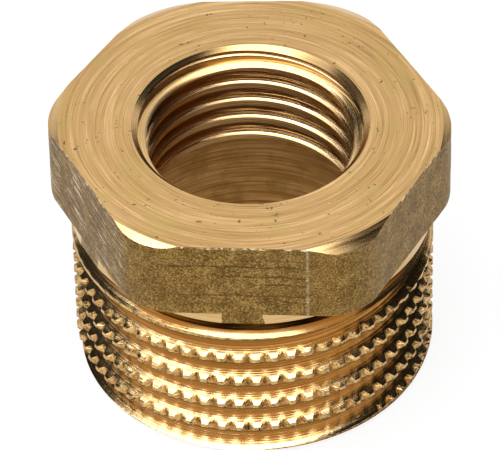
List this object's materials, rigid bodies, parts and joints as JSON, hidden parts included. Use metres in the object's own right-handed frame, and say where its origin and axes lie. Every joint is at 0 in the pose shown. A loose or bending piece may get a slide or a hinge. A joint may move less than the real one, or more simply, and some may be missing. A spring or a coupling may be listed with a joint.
{
  "type": "hex bushing",
  "caption": "Brass reducing bushing: a hexagon head with a threaded bore through it, above a larger male pipe thread with knurled crests.",
  "frame": {"origin": "centre of the threaded end face, at the part's base", "axes": "+Z along the axis, up from the threaded end to the hexagon; two of the hexagon's corners lie on the X axis"},
  "size_m": [0.0232, 0.021, 0.0162],
  "materials": {
    "brass": "forged flats, turned and threaded faces"
  },
  "bodies": {
    "root": {"hex_bushing": "brass"}
  },
  "joints": []
}
